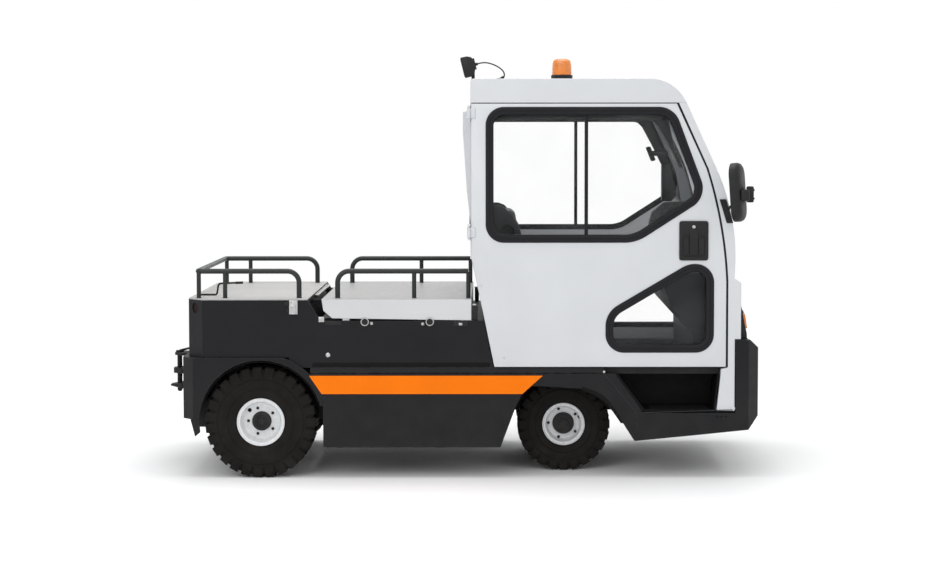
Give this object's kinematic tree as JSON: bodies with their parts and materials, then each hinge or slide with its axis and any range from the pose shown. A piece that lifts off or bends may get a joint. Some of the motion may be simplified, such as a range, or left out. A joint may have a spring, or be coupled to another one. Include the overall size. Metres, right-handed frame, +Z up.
{
  "type": "airport baggage tug",
  "caption": "Battery-electric airport baggage tug: closed cab with rear-hinged doors, railed rear decks, tow coupling and steered front wheels.",
  "frame": {"origin": "on the ground below the middle of the vehicle's box", "axes": "+X forward, +Y to the driver's left, +Z up"},
  "size_m": [3.512, 1.7196, 2.4645],
  "materials": {
    "body_dark": "satin",
    "cab_white": "satin",
    "orange": "satin",
    "deck_grey": "matte",
    "rail_black": "satin",
    "frame_black": "matte",
    "battery_grey": "matte",
    "glass": "clear",
    "rubber": "matte",
    "tyre": "matte",
    "rim_silver": "satin",
    "black_plastic": "matte",
    "seat_cloth": "woven",
    "steel": "zinc plated",
    "amber": "gloss",
    "red_lens": "gloss"
  },
  "bodies": {
    "chassis": {"chassis_frame": "frame_black", "rear_shell": "body_dark", "body_tub": "body_dark", "rear_deck": "deck_grey", "rear_rail": "rail_black", "drive_axle": "frame_black", "battery_block": "battery_grey", "side_skirts": "body_dark", "stripes": "orange", "sill_rails": "body_dark", "front_fenders": "body_dark", "front_bumper": "body_dark", "cab_front": "cab_white", "cab_glass": "glass", "cab_roof": "cab_white", "cab_rear": "cab_white", "cab_floor": "frame_black", "side_frames": "cab_white", "steps": "black_plastic", "seat_base": "black_plastic", "seat_cushion": "seat_cloth", "seat_back": "seat_cloth", "dashboard": "black_plastic", "front_axle": "frame_black", "coupling": "frame_black", "beacon": "amber", "work_lamp": "black_plastic", "lamp_cable": "rubber", "mirrors": "black_plastic", "headlamps": "black_plastic", "tail_lamps": "red_lens", "fittings": "steel"},
    "steering_wheel": {"steering_wheel": "black_plastic"},
    "battery_cover": {"battery_cover": "deck_grey", "cover_rails": "rail_black"},
    "tow_pin": {"tow_pin": "steel"},
    "wheel_rear_left": {"tyre_rear_left": "tyre", "rim_rear_left": "rim_silver", "hub_rear_left": "frame_black"},
    "wheel_front_left": {"tyre_front_left": "tyre", "rim_front_left": "rim_silver", "hub_front_left": "frame_black"},
    "door_left": {"door_panel_left": "cab_white", "door_rubber_left": "rubber", "door_glass_left": "glass", "door_handle_left": "black_plastic"},
    "knuckle_left": {"knuckle_left": "frame_black"},
    "wheel_rear_right": {"tyre_rear_right": "tyre", "rim_rear_right": "rim_silver", "hub_rear_right": "frame_black"},
    "wheel_front_right": {"tyre_front_right": "tyre", "rim_front_right": "rim_silver", "hub_front_right": "frame_black"},
    "door_right": {"door_panel_right": "cab_white", "door_rubber_right": "rubber", "door_glass_right": "glass", "door_handle_right": "black_plastic"},
    "knuckle_right": {"knuckle_right": "frame_black"}
  },
  "joints": [
    {"name": "wheel_rear_left_spin", "type": "hinge", "parent": "chassis", "child": "wheel_rear_left", "pos_m": [-1.127, 0.5725, 0.3225], "axis": [0, 1, 0], "continuous": true},
    {"name": "wheel_front_left_spin", "type": "hinge", "parent": "knuckle_left", "child": "wheel_front_left", "pos_m": [0.634, 0.3575, 0.274], "axis": [0, 1, 0], "continuous": true},
    {"name": "knuckle_left_steer", "type": "hinge", "parent": "chassis", "child": "knuckle_left", "pos_m": [0.634, 0.2355, 0.274], "axis": [0, 0, 1], "range_deg": [-35, 35]},
    {"name": "door_left_swing", "type": "hinge", "parent": "chassis", "child": "door_left", "pos_m": [0.078, 0.678, 1.4], "axis": [0, 0, 1], "range_deg": [0, 90]},
    {"name": "wheel_rear_right_spin", "type": "hinge", "parent": "chassis", "child": "wheel_rear_right", "pos_m": [-1.127, -0.5725, 0.3225], "axis": [0, 1, 0], "continuous": true},
    {"name": "wheel_front_right_spin", "type": "hinge", "parent": "knuckle_right", "child": "wheel_front_right", "pos_m": [0.634, -0.3575, 0.274], "axis": [0, 1, 0], "continuous": true},
    {"name": "knuckle_right_steer", "type": "hinge", "parent": "chassis", "child": "knuckle_right", "pos_m": [0.634, -0.2355, 0.274], "axis": [0, 0, 1], "range_deg": [-35, 35]},
    {"name": "door_right_swing", "type": "hinge", "parent": "chassis", "child": "door_right", "pos_m": [0.078, -0.678, 1.4], "axis": [0, 0, -1], "range_deg": [0, 90]},
    {"name": "steering_wheel_turn", "type": "hinge", "parent": "chassis", "child": "steering_wheel", "pos_m": [1.11, 0, 1.235], "axis": [-0.6, 0, 0.8], "range_deg": [-700, 700]},
    {"name": "battery_cover_lift", "type": "hinge", "parent": "chassis", "child": "battery_cover", "pos_m": [-0.79, 0, 1.005], "axis": [0, -1, 0], "range_deg": [0, 55]},
    {"name": "tow_pin_lift", "type": "slide", "parent": "chassis", "child": "tow_pin", "axis": [0, 0, 1], "range_m": [0, 0.2]}
  ],
  "couplings": [
    {"joint": "knuckle_left_steer", "follows": "steering_wheel_turn", "ratio": 0.05},
    {"joint": "knuckle_right_steer", "follows": "steering_wheel_turn", "ratio": 0.05}
  ]
}
